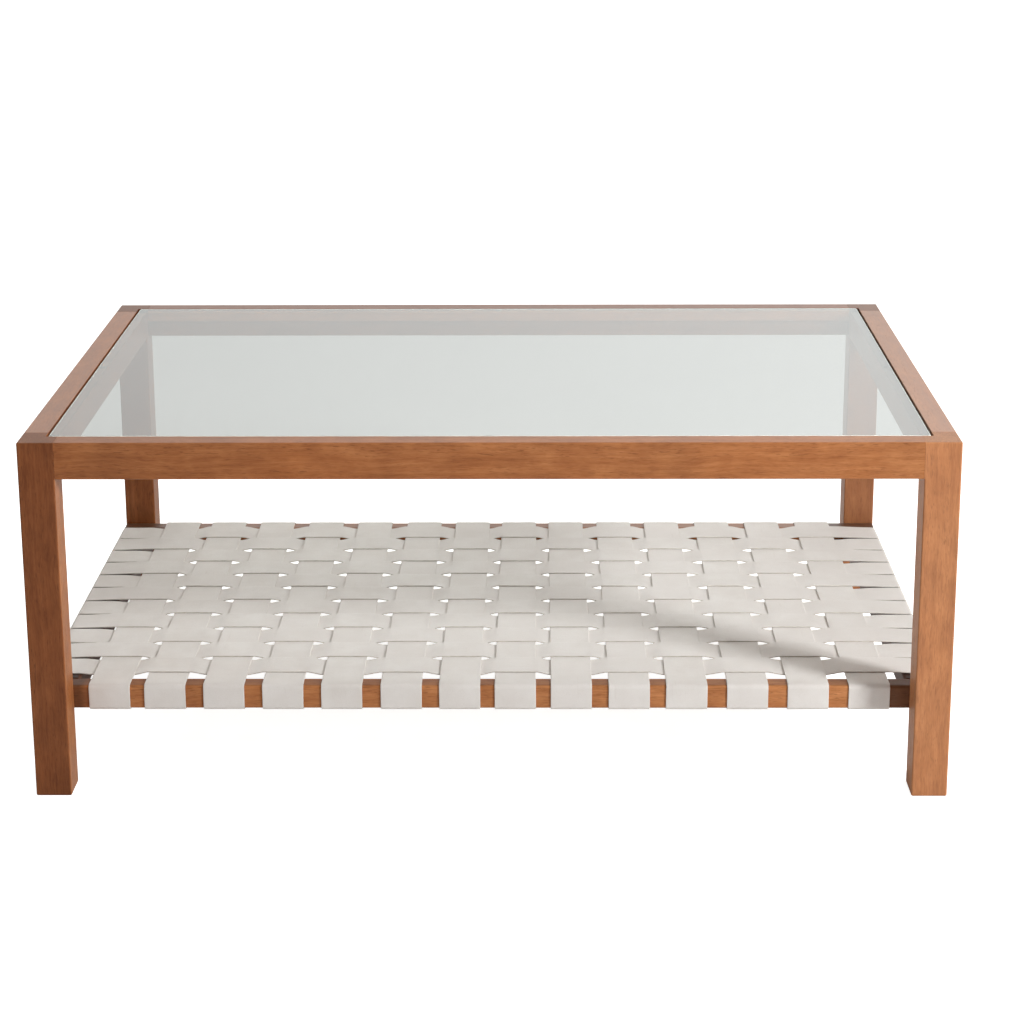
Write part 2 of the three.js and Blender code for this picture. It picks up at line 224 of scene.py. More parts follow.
# Noise that is the same in all directions, or runs along the growth layers' radius: scale, detail,
# roughness
CLOUDS = (4.5, 2.0, 0.55)
SPECKLES = (620.0, 2.0, 0.6)
PATCHES = (38.0, 3.0, 0.55)
WAVINESS = (60.0, 2.0, 0.55)
LAYERS = (210.0, 3.0, 0.6)
BANDS = (60.0, 2.0, 0.5)
# Slow wander of the fibres: scale in each direction, detail and how far it goes in metres
WANDER_SCALE, WANDER_DETAIL, WANDER_REACH = (3.0, 3.0, 0.9), 2.0, 0.022
# Each board is cut from its own place in the wood, with the growth layers' centre outside the board
GRAIN_OFFSET = 3.0
CENTRE_ACROSS, CENTRE_BELOW = (0.07, 0.14), (0.05, 0.12)
LAYERS_SHARE, BANDS_SHARE, STREAKS_SHARE, RIBBON_SHARE = 0.16, 0.16, 0.32, 0.36
FIGURE_STOPS = [(0.34, WOOD_DARK), (0.50, WOOD_MID), (0.66, WOOD_PALE)]
# How a pattern's value is spread: from low, from high, to low, to high
WOOD_SPREADS = {
    "fine": (0.40, 0.68, 0.0, 0.42),
    "cloud": (0.35, 0.70, 0.0, 0.35),
    "pores": (0.60, 0.70, 0.0, 1.0),
    "gathered": (0.40, 0.60, 0.35, 1.0),
    "flecks": (0.58, 0.74, 0.0, 0.32),
    "end": (0.70, 0.90, 0.0, 1.0),
    "speckle": (0.38, 0.62, 0.0, 1.0),
    "rubbed": (0.4 * MM, 2.6 * MM, 1.0, 0.0),
    "patches": (0.40, 0.62, 0.0, 1.0),
    "cloud_tone": (0.3, 0.7, 0.94, 1.06),
    "fibre_tone": (0.3, 0.7, 0.88, 1.12),
    "roughness": (0.35, 0.65, 0.36, 0.46),
    "coat": (0.0, 1.0, 0.12, 0.76),
}
# How squarely a face looks sideways or up, from where its own treatment starts to where it is full
SIDE_FACING, TOP_FACING = (0.6, 0.9), (0.5, 0.85)
# A darker board is also redder: green and blue fall faster than red
GREEN_POWER, BLUE_POWER = 1.26, 1.42
PORE_ROUGHER, END_ROUGHER = 0.22, 0.30
FINE_HEIGHT, PORE_HEIGHT, STREAK_HEIGHT = 0.25, -1.0, 0.30
# Bumps: distance in metres and strength
FIBRE_BUMP, WAVINESS_BUMP = (0.00016, 0.75), (0.0006, 0.18)
WOOD_GLOSS = {"IOR": 1.33, "Specular IOR Level": 0.32, "Coat IOR": 1.34, "Coat Roughness": 0.32}
# Places on the boards, in metres from the middle of the table and from the floor: the recess of the
# glass and the tops of the shelf rails
RECESS_INNER, RECESS_WALL, RECESS_END = 0.506, 0.5207, 0.3295
RECESS_FLOOR, RECESS_BRIM = 0.437, 0.4434
RAIL_TOP, RAIL_COVER = 0.1244, 0.286
# Painted shade on the shelf rails, within and beyond the straps' cover, and the soft edge of all
# painted shade
UNDER_STRAP_SHADE_SHARES = (0.9, 0.35)
PAINTED_SHADE_EDGE, WALL_EDGE = 0.5 * MM, 0.1 * MM
# Where the long rails' ends lie in the shade of the legs, painted as darker wood: from, to, none,
# how much painted shade
RAIL_LEFT_END, RAIL_RIGHT_END = (-0.484, -0.502, 0.0, 0.62), (0.462, 0.488, 0.0, 0.70)


def hardwood(name, grain, low, high, seed, tone, left_face_light=1.0, right_face_light=1.0, polish_and_sheen=1.0,
             greyed=0.0, stain=0.0, painted_rail_shade=False):
    """Hardwood whose fibres run along one axis. Tone brightens a whole board, or is a pair for the
    board's two ends; it is partly the wood's own tone and partly painted light and shade. The left
    and right face factors brighten or darken those faces as painted light and shade. The top factor
    gives the top face a real clear coat and a pale painted sheen, and the greying share mixes the
    whole board towards a pale grey-brown. The recess share paints shade on the walls of the glass's
    recess. A board under the straps gets painted shade there, and painted shadows of the legs at
    its ends."""
    material, s = new_material(name)
    place = s.add("ShaderNodeTexCoord").outputs["Object"]
    split = s.add("ShaderNodeSeparateXYZ", {"Vector": place})
    axis = "XYZ".index(grain)
    across, upward = "XYZ"[(axis + 1) % 3], "XYZ"[(axis + 2) % 3]
    chance = random.Random(seed)
    offset = [chance.uniform(-GRAIN_OFFSET, GRAIN_OFFSET) for _ in range(3)]
    joined = s.add("ShaderNodeCombineXYZ", {
        key: s.math("ADD", split.outputs[letter], by)
        for key, letter, by in zip("XYZ", (across, upward, grain), offset)
    }).outputs["Vector"]
    wander = s.add("ShaderNodeTexNoise", {
        "Vector": s.vector("MULTIPLY", joined, WANDER_SCALE), "Detail": WANDER_DETAIL})
    moved = s.vector("SUBTRACT", wander.outputs["Color"], (0.5, 0.5, 0.5))
    bent = s.vector("ADD", joined, s.vector("SCALE", moved, WANDER_REACH))

    def spread(key, value, smooth=False):
        return s.spread(value, *WOOD_SPREADS[key], smooth=smooth)

    def fibres(key):
        side, along, detail, roughness = FIBRES[key]
        stretched = s.vector("MULTIPLY", bent, (side, side, along))
        return s.noise(stretched, 1.0, detail, roughness)

    # Growth layers are irregular bands round a centre that lies outside the board
    centre = (offset[0] + chance.uniform(*CENTRE_ACROSS),
              offset[1] - chance.uniform(*CENTRE_BELOW), 0.0)
    flat = s.vector("MULTIPLY", s.vector("SUBTRACT", bent, centre), (1, 1, 0))
    radius = s.vector("LENGTH", flat)
    layers = s.noise(radius, *LAYERS, dimensions="1D")
    bands = s.noise(radius, *BANDS, dimensions="1D")
    streaks, fine, ribbon = fibres("streaks"), fibres("fine"), fibres("ribbon")
    cloud = s.noise(joined, *CLOUDS)
    figure = s.summed([(LAYERS_SHARE, layers), (BANDS_SHARE, bands), (STREAKS_SHARE, streaks),
                       (RIBBON_SHARE, ribbon)])
    colour = s.ramp(figure, FIGURE_STOPS)
    colour = s.mix(spread("fine", fine), colour, WOOD_PALE)
    colour = s.mix(spread("cloud", cloud), colour, CLOUD)

    # Open pores are short dark lines along the fibres, and round dots on end grain
    open_pore = spread("pores", fibres("pores"), smooth=True)
    open_pore = s.math("MULTIPLY", open_pore, spread("gathered", bands))
    colour = s.mix(s.math("MULTIPLY", open_pore, PORE_SHARE), colour, PORE)
    colour = s.mix(spread("flecks", fibres("flecks"), smooth=True), colour, FLECK)

    # End grain is darker and drinks more oil
    facing = s.add("ShaderNodeNewGeometry").outputs["Normal"]
    along = tuple(float(letter == grain) for letter in "XYZ")
    end = s.math("ABSOLUTE", s.vector("DOT_PRODUCT", facing, along))
    end = spread("end", end, smooth=True)
    end_colour = s.mix(spread("speckle", s.noise(joined, *SPECKLES)), END_DARK, END_PALE)
    colour = s.mix(s.math("MULTIPLY", end, END_SHARE), colour, end_colour)

    # Arrises, which lie near two faces of the board at once, are rubbed in patches
    depth = []
    for i, letter in enumerate("XYZ"):
        away = s.math("SUBTRACT", split.outputs[letter], (low[i] + high[i]) / 2)
        depth.append(s.math("SUBTRACT", (high[i] - low[i]) / 2, s.math("ABSOLUTE", away)))
    smaller = s.math("MINIMUM", depth[0], depth[1])
    larger = s.math("MAXIMUM", depth[0], depth[1])
    second = s.math("MAXIMUM", smaller, s.math("MINIMUM", larger, depth[2]))
    rubbed = spread("rubbed", second, smooth=True)
    rubbed = s.math("MULTIPLY", rubbed, spread("patches", s.noise(joined, *PATCHES)))
    colour = s.mix(s.math("MULTIPLY", rubbed, RUBBED_SHARE), colour, RUBBED)

    # The board's tone, partly its own and partly painted light and shade, with the left and right
    # faces brightened or darkened as painted light and shade
    first, last = tone if isinstance(tone, tuple) else (tone, tone)
    tone_and_painted_light = s.spread(split.outputs[grain], low[axis], high[axis], first, last)
    sideways = s.vector("DOT_PRODUCT", facing, (1.0, 0.0, 0.0))
    for factor in (spread("cloud_tone", cloud),
                   spread("fibre_tone", fibres("shades")),
                   s.spread(sideways, *SIDE_FACING, 1.0, right_face_light),
                   s.spread(sideways, *(-v for v in SIDE_FACING), 1.0, left_face_light)):
        tone_and_painted_light = s.math("MULTIPLY", tone_and_painted_light, factor)
    redder = s.add("ShaderNodeCombineXYZ", {
        "X": tone_and_painted_light, "Y": s.math("POWER", tone_and_painted_light, GREEN_POWER),
        "Z": s.math("POWER", tone_and_painted_light, BLUE_POWER)}).outputs["Vector"]
    colour = s.vector("MULTIPLY", colour, redder)
    colour = s.mix(greyed, colour, GREYED_PALE)

    # The tops get a pale painted sheen in their colour, and are polished with a clear coat
    top_coat_and_sheen = s.vector("DOT_PRODUCT", facing, (0.0, 0.0, 1.0))
    top_coat_and_sheen = s.spread(top_coat_and_sheen, *TOP_FACING, 0.0, polish_and_sheen)
    colour = s.mix(s.math("MULTIPLY", top_coat_and_sheen, TOP_SHEEN_SHARE), colour, TOP_SHEEN_PAINT)
    across_x = s.math("ABSOLUTE", split.outputs["X"])
    across_y = s.math("ABSOLUTE", split.outputs["Y"])
    level = split.outputs["Z"]

    def beyond(value, limit, to_low=0.0, to_high=1.0, edge=PAINTED_SHADE_EDGE):
        return s.spread(value, limit - edge, limit + edge, to_low, to_high)

    # Painted shade darkens the wall of the glass's recess
    if stain:
        wall = beyond(across_x, RECESS_WALL, 1.0, 0.0, WALL_EDGE)
        for limit in (s.spread(level, RECESS_BRIM, RECESS_BRIM - 2 * PAINTED_SHADE_EDGE),
                      beyond(across_x, RECESS_INNER),
                      beyond(across_y, RECESS_END, 1.0, 0.0),
                      s.spread(level, RECESS_FLOOR, RECESS_FLOOR + PAINTED_SHADE_EDGE, 0.0, stain)):
            wall = s.math("MULTIPLY", wall, limit)
        colour = s.mix(wall, colour, RECESS_SHADE_COLOUR)
    # Painted shade on the shelf rails where the straps cover them
    if painted_rail_shade:
        under = beyond(across_y, RAIL_COVER, *UNDER_STRAP_SHADE_SHARES)
        under = s.math("MULTIPLY", under, beyond(level, RAIL_TOP))
        colour = s.mix(under, colour, UNDER_STRAP_SHADE)
        # Painted shadows of the legs at the long rails' ends
        ends = [s.spread(split.outputs["X"], *reach, smooth=True)
                for reach in (RAIL_LEFT_END, RAIL_RIGHT_END)]
        colour = s.mix(s.math("ADD", *ends), colour, LEG_SHADE_ON_RAILS)

    rough = spread("roughness", figure)
    rough = s.math("ADD", rough, s.math("MULTIPLY", open_pore, PORE_ROUGHER))
    rough = s.math("ADD", rough, s.math("MULTIPLY", end, END_ROUGHER), clamp=True)
    height = s.summed([(FINE_HEIGHT, fine), (PORE_HEIGHT, open_pore), (STREAK_HEIGHT, streaks)])
    normal = s.bump(height, *FIBRE_BUMP)
    normal = s.bump(s.noise(joined, *WAVINESS), *WAVINESS_BUMP, normal)
    s.principled({"Base Color": colour, "Roughness": rough, "Normal": normal,
                  "Coat Weight": spread("coat", top_coat_and_sheen), **WOOD_GLOSS})
    return material


# Boards
# Angles between faces, in degrees: flat joins, arrises to ease, and what stays sharp in shading
FLAT_JOIN, ARRIS, SHARP_SHADING = 0.6, 60, 50
MERGED = 2e-6
ARRIS_EASE, LEG_ROUNDING = 0.6 * MM, 2.8 * MM
EASE_SEGMENTS, ROUNDING_SEGMENTS = 2, 4
TOUCHING = 0.1 * MM
FLATS_WEIGHT = 100


def eased_copy(node, rounded=None):
    """A CAD node's solid as clean faces, with every sharp arris eased and smooth shading over the
    curves. Edges between two points that pass the test rounded are rounded further."""
    mesh = bmesh.new()
    mesh.from_mesh(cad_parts[node].data)
    bmesh.ops.remove_doubles(mesh, verts=mesh.verts, dist=MERGED)
    bmesh.ops.dissolve_limit(mesh, angle_limit=math.radians(FLAT_JOIN), verts=mesh.verts,
                             edges=mesh.edges)

    def round_over(edges, radius, segments):
        bmesh.ops.bevel(mesh, geom=edges, offset=radius, offset_type="OFFSET", segments=segments,
                        profile=0.5, affect="EDGES", clamp_overlap=True)

    def sharp_edges():
        return [e for e in mesh.edges
                if len(e.link_faces) == 2 and e.calc_face_angle() > math.radians(ARRIS)]

    if rounded:
        edges = [e for e in sharp_edges() if rounded(e.verts[0].co, e.verts[1].co)]
        round_over(edges, LEG_ROUNDING, ROUNDING_SEGMENTS)
    round_over(sharp_edges(), ARRIS_EASE, EASE_SEGMENTS)
    for face in mesh.faces:
        face.smooth = True
    data = finish_mesh(node, mesh)
    data.set_sharp_from_angle(angle=math.radians(SHARP_SHADING))
    return data


def finish_mesh(name, mesh):
    data = bpy.data.meshes.new(name)
    mesh.to_mesh(data)
    mesh.free()
    return data


def add_piece(name, data, materials, replaced=()):
    piece = bpy.data.objects.new(name, data)
    scene.collection.objects.link(piece)
    data.materials.clear()
    for material in materials:
        data.materials.append(material)
    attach(piece, "root")
    if replaced:
        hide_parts(*replaced)
    return piece


# Each board: its node, the axis of its fibres, its tone or the tones of its two ends, and what else
# sets it apart. The tones hold painted light and shade besides the wood's own tone: the left legs
# are darker, the back legs darken towards their tops, the back apron and the end shelf rails are
# darkened as painted shade, and the front apron and the long shelf rails grow lighter towards the
# right. The side factors paint light on the left legs' inner faces and shade on the end rails'
# inner faces.
BOARDS = [
    ("leg_front_left", "Z", 0.54, {"right_face_light": 1.75, "polish_and_sheen": 0.6, "stain": 0.35}),
    ("leg_front_right", "Z", 1.13, {"polish_and_sheen": 0.6, "greyed": 0.10, "stain": 0.75}),
    ("leg_back_left", "Z", (0.62, 0.42), {"right_face_light": 1.2, "stain": 0.35}),
    ("leg_back_right", "Z", (1.02, 0.42), {"greyed": 0.08, "stain": 0.75}),
    ("apron_front", "X", (0.80, 1.07), {"polish_and_sheen": 0.5}),
    ("apron_back", "X", (0.48, 0.52), {}),
    ("end_rail_left", "Y", 0.97, {"right_face_light": 0.6, "stain": 0.35}),
    ("end_rail_right", "Y", 0.96, {"left_face_light": 0.5, "greyed": 0.15, "stain": 0.75}),
    ("glass_cleat_front", "X", 0.95, {}),
    ("glass_cleat_back", "X", 0.95, {}),
    ("shelf_rail_front", "X", (0.97, 1.25), {"painted_rail_shade": True, "polish_and_sheen": 0.0}),
    ("shelf_rail_back", "X", (0.9, 1.1), {"painted_rail_shade": True}),
    ("shelf_rail_left", "Y", 0.5, {"painted_rail_shade": True, "polish_and_sheen": 0.0}),
    ("shelf_rail_right", "Y", 0.55, {"painted_rail_shade": True, "polish_and_sheen": 0.0}),
]
BOARD_SEED = 11
table_low, table_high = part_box("leg_front_left")[0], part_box("leg_back_right")[1]


def foot_or_corner(a, b):
    """An edge of a leg that stands on the floor or on an outer corner of the table."""
    def on_outer_face(i):
        return all(min(p[i] - table_low[i], table_high[i] - p[i]) < TOUCHING for p in (a, b))
    on_floor = a.z < TOUCHING and b.z < TOUCHING
    return on_floor or (on_outer_face(0) and on_outer_face(1))


for number, (node, grain, tone, extras) in enumerate(BOARDS):
    low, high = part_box(node)
    material = hardwood(f"hardwood_{node}", grain, low, high, BOARD_SEED + number, tone, **extras)
    data = eased_copy(node, foot_or_corner if node.startswith("leg_") else None)
    piece = add_piece(f"{node}_board", data, [material], [node])
    weighted = piece.modifiers.new("even_flats", "WEIGHTED_NORMAL")
    weighted.keep_sharp = True
    weighted.weight = FLATS_WEIGHT


# Leather straps
# These sizes repeat those of the CAD solids, in millimetres.
WARP_WIDTH = 50.0
WEFT_WIDTH = 47.0
STRAP_THICKNESS = 1.4
STRAP_GAP = 0.3
SHELF_TOP = 125.0
SHELF_BOTTOM = 95.0
SHELF_EDGE = 4.0
SHELF_HALF_WIDTH = 548.3
SHELF_HALF_DEPTH = 312.0
CLEAR_HALF_WIDTH = 504.3
CLEAR_HALF_DEPTH = 286.5
WARP_SIDE_SPACE = 18.0
WARP_SHIFT = -2.3
WARP_SLIPS = [0, 0.05, 0.04, 0.03, 0.02, 0, 0, 0.05, 0.09, 0.1, 0.12, 0.08, 0.05, 0.01]
WARP_COUNT, WEFT_COUNT = 14, 11
WEFT_FRONT_SPACE, WEFT_BACK_SPACE = 12.0, 2.0
WEFT_LIFT_SPACE = 5.0
EDGE_ROOM = 0.5
WARP_UNDER, WEFT_UNDER = 20.0, 34.0
BEND_SHARE = 0.25
STRAP_OFFSET = STRAP_GAP + STRAP_THICKNESS / 2
RAIL_LEVEL = SHELF_TOP + STRAP_OFFSET
CROSSING_RISE = STRAP_THICKNESS + STRAP_GAP
WARP_SPAN = 2 * (CLEAR_HALF_WIDTH - WARP_SIDE_SPACE)
WEFT_SPAN = 2 * CLEAR_HALF_DEPTH - WEFT_FRONT_SPACE - WEFT_BACK_SPACE
WARP_PITCH = (WARP_SPAN - WARP_WIDTH) / (WARP_COUNT - 1)
WEFT_PITCH = (WEFT_SPAN - WEFT_WIDTH) / (WEFT_COUNT - 1)
# These belong to the visible straps alone: how finely the centre line is drawn, the section's
# columns as shares of its flat half, its rounded cut edge, and the unevenness of cut leather with
# the lengths of its waves
LONGEST_STEP, LEAST_STEP = 6.0, 0.05
ARC_STEPS, BEND_STEPS = 9, 9
SECTION_COLUMNS = [-1, -0.96, -0.8, -0.5, -0.25, 0, 0.25, 0.5, 0.8, 0.96, 1]
CUT_EDGE = [(0.55, -0.84), (0.9, -0.5), (1.0, 0.0), (0.9, 0.5), (0.55, 0.84)]
CUT_EDGE_DEPTH = 0.35
SMOOTH_SIDE, CUT_SIDE, SUEDE_SIDE = 0, 1, 2
LEFT_EDGE_WAVES, RIGHT_EDGE_WAVES = (0.30, (410, 173, 61)), (0.30, (377, 149, 67))
CUPPING, CUPPING_WAVES, CUPPING_POWER = 0.04, (0.04, (230, 90)), 3
SIDEWAYS_WAVES = (0.16, (640, 260))
LEAST_WAVE, FULL_WAVE = 0.4, 1.0
SHARP_STRAP_ANGLE = 60
BEND_CALM, CALM_REACH = 0.75, 8.0
# Each strap takes its random draws and its place in the leather's pattern from its own seed
WARP_SEED, WEFT_SEED, SEED_STEP = 100, 200, 0.37


def warp_centre(i):
    return WARP_SHIFT + (i - (WARP_COUNT - 1) / 2) * WARP_PITCH - WARP_SLIPS[i] * WARP_PITCH


def weft_centre(row):
    return CLEAR_HALF_DEPTH - WEFT_BACK_SPACE - WEFT_WIDTH / 2 - row * WEFT_PITCH


class Line:
    """A centre line drawn in one plane, as points a few millimetres apart at most."""

    def __init__(self, x, z):
        self.points = [(x, z)]

    def to(self, x, z):
        x0, z0 = self.points[-1]
        count = max(1, math.ceil(math.hypot(x - x0, z - z0) / LONGEST_STEP))
        for k in range(1, count + 1):
            self.points.append((x0 + (x - x0) * k / count, z0 + (z - z0) * k / count))

    def arc(self, cx, cz, radius, start, end):
        self.to(cx + radius * math.cos(start), cz + radius * math.sin(start))
        for k in range(1, ARC_STEPS + 1):
            angle = start + (end - start) * k / ARC_STEPS
            self.points.append((cx + radius * math.cos(angle), cz + radius * math.sin(angle)))

    def bend(self, x, z):
        """An S bend that starts and ends level."""
        x0, z0 = self.points[-1]
        reach = BEND_SHARE * (x - x0)
        for k in range(1, BEND_STEPS + 1):
            t = k / BEND_STEPS
            a, b, c, d = (1 - t) ** 3, 3 * t * (1 - t) ** 2, 3 * t * t * (1 - t), t ** 3
            self.points.append((a * x0 + b * (x0 + reach) + c * (x - reach) + d * x,
                                (a + b) * z0 + (c + d) * z))


def strap_line(half_span, under_run, start, end, crossing=None):
    """A strap's centre line, from under one rail round its outside, over the shelf and back under
    the other rail. Crossing draws what lies between start and end, which is straight without it."""
    arc_x = half_span - SHELF_EDGE
    low_arc, high_arc = SHELF_BOTTOM + SHELF_EDGE, SHELF_TOP - SHELF_EDGE
    fold = SHELF_EDGE + STRAP_OFFSET
    quarter = math.pi / 2
    line = Line(under_run - half_span, SHELF_BOTTOM - STRAP_OFFSET)
    line.arc(-arc_x, low_arc, fold, -quarter, -2 * quarter)
    line.arc(-arc_x, high_arc, fold, 2 * quarter, quarter)
    line.to(start, RAIL_LEVEL)
    if crossing:
        crossing(line)
    line.to(end, RAIL_LEVEL)
    line.arc(arc_x, high_arc, fold, quarter, 0)
    line.arc(arc_x, low_arc, fold, 0, -quarter)
    line.to(half_span - under_run, SHELF_BOTTOM - STRAP_OFFSET)
    kept = [line.points[0]]
    for point in line.points[1:]:
        if math.dist(point, kept[-1]) > LEAST_STEP:
            kept.append(point)
    return np.array(kept)


def strap_section(width):
    """A strap's section: across, up and which side, counter-clockwise from the lower left."""
    thick = STRAP_THICKNESS / 2
    flat = width / 2 - CUT_EDGE_DEPTH
    lower = [(c * flat, -thick, SUEDE_SIDE) for c in SECTION_COLUMNS]
    upper = [(-c * flat, thick, SMOOTH_SIDE) for c in SECTION_COLUMNS]
    right = [(flat + CUT_EDGE_DEPTH * a, thick * b, CUT_SIDE) for a, b in CUT_EDGE]
    left = [(-flat - CUT_EDGE_DEPTH * a, -thick * b, CUT_SIDE) for a, b in CUT_EDGE]
    return np.array(lower + right + upper + left)


def strap_mesh(name, centre_line, width, place, along_x, seed):
    """Sweeps the section along a centre line, with the small unevenness of cut leather."""
    chance = np.random.default_rng(seed)
    section = strap_section(width)
    count, ring = len(centre_line), len(section)
    ahead = (np.vstack([centre_line[1:], centre_line[-1:]])
             - np.vstack([centre_line[:1], centre_line[:-1]]))
    tangent = ahead / np.linalg.norm(ahead, axis=1)[:, None]
    normal = np.stack([-tangent[:, 1], tangent[:, 0]], axis=1)
    steps = np.linalg.norm(np.diff(centre_line, axis=0), axis=1)
    run = np.concatenate([[0.0], np.cumsum(steps)])

    def waves(amount, lengths):
        total = np.zeros(count)
        for length in lengths:
            phase = chance.uniform(0, 2 * np.pi)
            swing = chance.uniform(LEAST_WAVE, FULL_WAVE)
            total += np.sin(run / length * 2 * np.pi + phase) * swing
        return amount * total / len(lengths)

    left_edge, right_edge = waves(*LEFT_EDGE_WAVES), waves(*RIGHT_EDGE_WAVES)
    cupping = CUPPING + waves(*CUPPING_WAVES)
    sideways = waves(*SIDEWAYS_WAVES)
    share = section[:, 0] / (width / 2)
    shift = np.where(share > 0, share, 0)[None, :] * right_edge[:, None]
    shift = shift + np.where(share < 0, -share, 0)[None, :] * left_edge[:, None]
    across = section[:, 0][None, :] + shift + sideways[:, None]
    rise = section[:, 1][None, :] - cupping[:, None] * (np.abs(share) ** CUPPING_POWER)[None, :]
    outline = centre_line[:, None, :] + normal[:, None, :] * rise[:, :, None]
    if along_x:
        co = np.stack([outline[:, :, 0], across + place, outline[:, :, 1]], axis=2)
    else:
        co = np.stack([across + place, outline[:, :, 0], outline[:, :, 1]], axis=2)
    co = co.reshape(-1, 3) * MM
    faces = []
    for i in range(count - 1):
        for j in range(ring):
            a, b = i * ring + j, i * ring + (j + 1) % ring
            face = (a, b, b + ring, a + ring)
            faces.append(face if along_x else face[::-1])
    first = tuple(range(ring))
    last = tuple(range((count - 1) * ring, count * ring))
    faces += [first[::-1], last] if along_x else [first, last[::-1]]
    data = bpy.data.meshes.new(name)
    data.from_pydata(co.tolist(), [], faces)
    data.update()
    for face in data.polygons:
        face.use_smooth = True
    where = np.zeros((count, ring, 3), np.float32)
    where[:, :, 0] = run[:, None] * MM
    where[:, :, 1] = section[:, 0][None, :] * MM
    where[:, :, 2] = seed * SEED_STEP
    places = data.attributes.new("strap_place", "FLOAT_VECTOR", "POINT")
    places.data.foreach_set("vector", where.ravel())
    side = np.tile(section[:, 2] / SUEDE_SIDE, count).astype(np.float32)
    data.attributes.new("strap_side", "FLOAT", "POINT").data.foreach_set("value", side)
    data.set_sharp_from_angle(angle=math.radians(SHARP_STRAP_ANGLE))
    if along_x:
        calm_crossings(data, 0, SHELF_HALF_WIDTH)
    else:
        calm_crossings(data, 1, SHELF_HALF_DEPTH)
    return data


def calm_crossings(data, axis, half_span):
    """Softens the shading of the shallow bends at the crossings, where soft leather shows none."""
    corners = np.empty(len(data.loops) * 3, np.float32)
    data.corner_normals.foreach_get("vector", corners)
    corners = corners.reshape(-1, 3)
    owner = np.empty(len(data.loops), np.int32)
    data.loops.foreach_get("vertex_index", owner)
    co = np.empty(len(data.vertices) * 3, np.float32)
    data.vertices.foreach_get("co", co)
    reach = np.abs(co.reshape(-1, 3)[owner, axis])
    woven = np.clip(((half_span - SHELF_EDGE) * MM - reach) / (CALM_REACH * MM), 0, 1)
    corners[:, axis] *= 1 - BEND_CALM * woven
    corners /= np.linalg.norm(corners, axis=1)[:, None]
    data.normals_split_custom_set(corners.tolist())


# Colours of the smooth side, of its grain, pores and scuffs, of the cut edge and of the suede side
LEATHER_DARK, LEATHER_PALE = (0.686, 0.637, 0.602), (0.768, 0.729, 0.700)
LEATHER_WARM = (0.720, 0.668, 0.640)
GRAIN_LINE, HAIR_PORE, SCUFF = (0.47, 0.40, 0.34), (0.42, 0.35, 0.29), (0.55, 0.48, 0.42)
GRAIN_LINE_SHARE, HAIR_PORE_SHARE, SCUFF_SHARE = 0.10, 0.16, 0.14
CUT_DARK, CUT_PALE = (0.58, 0.52, 0.47), (0.68, 0.63, 0.58)
SUEDE_DARK, SUEDE_PALE = (0.46, 0.38, 0.31), (0.62, 0.54, 0.46)
# Noise on the leather: stretch along, across and from strap to strap, then scale, detail, roughness
# and distortion
LEATHER_NOISE = {
    "mottle": (None, 22.0, 4.0, 0.6, 0.0),
    "tone": ((0.2, 0.0, 1.0), 9.0, 1.0, 0.55, 0.0),
    "fine": (None, 1900.0, 2.0, 0.55, 0.0),
    "pores": (None, 760.0, 1.0, 0.55, 0.0),
    "scuffs": ((26.0, 310.0, 1.0), 1.0, 2.0, 0.5, 0.6),
    "layers": ((120.0, 2600.0, 1.0), 1.0, 3.0, 0.55, 0.0),
    "nap": ((900.0, 500.0, 1.0), 1.0, 4.0, 0.7, 0.0),
    "creases": ((95.0, 16.0, 1.0), 1.0, 3.0, 0.55, 0.0),
}
PEBBLE_SCALE = 950.0
LEATHER_SPREADS = {
    "mottle": (0.32, 0.68, 0.0, 1.0),
    "tone": (0.35, 0.65, 0.0, 0.5),
    "grain": (0.0, 0.22, 0.0, 1.0),
    "pores": (0.66, 0.74, 0.0, 1.0),
    "scuffs": (0.67, 0.76, 0.0, 1.0),
    "layers": (0.35, 0.65, 0.0, 1.0),
    "nap": (0.3, 0.7, 0.0, 1.0),
    "is_cut": (0.22, 0.42, 0.0, 1.0),
    "is_suede": (0.60, 0.85, 0.0, 1.0),
    "roughness": (0.3, 0.7, 0.58, 0.70),
}
CUT_ROUGHER = 0.22
PEBBLE_HEIGHT, FINE_GRAIN_HEIGHT, HAIR_PORE_HEIGHT = 0.55, 0.35, -0.5
GRAIN_BUMP, CREASE_BUMP = (0.00009, 0.8), (0.0007, 0.35)
LEATHER_GLOSS = {"IOR": 1.45, "Sheen Weight": 0.12, "Sheen Roughness": 0.5}


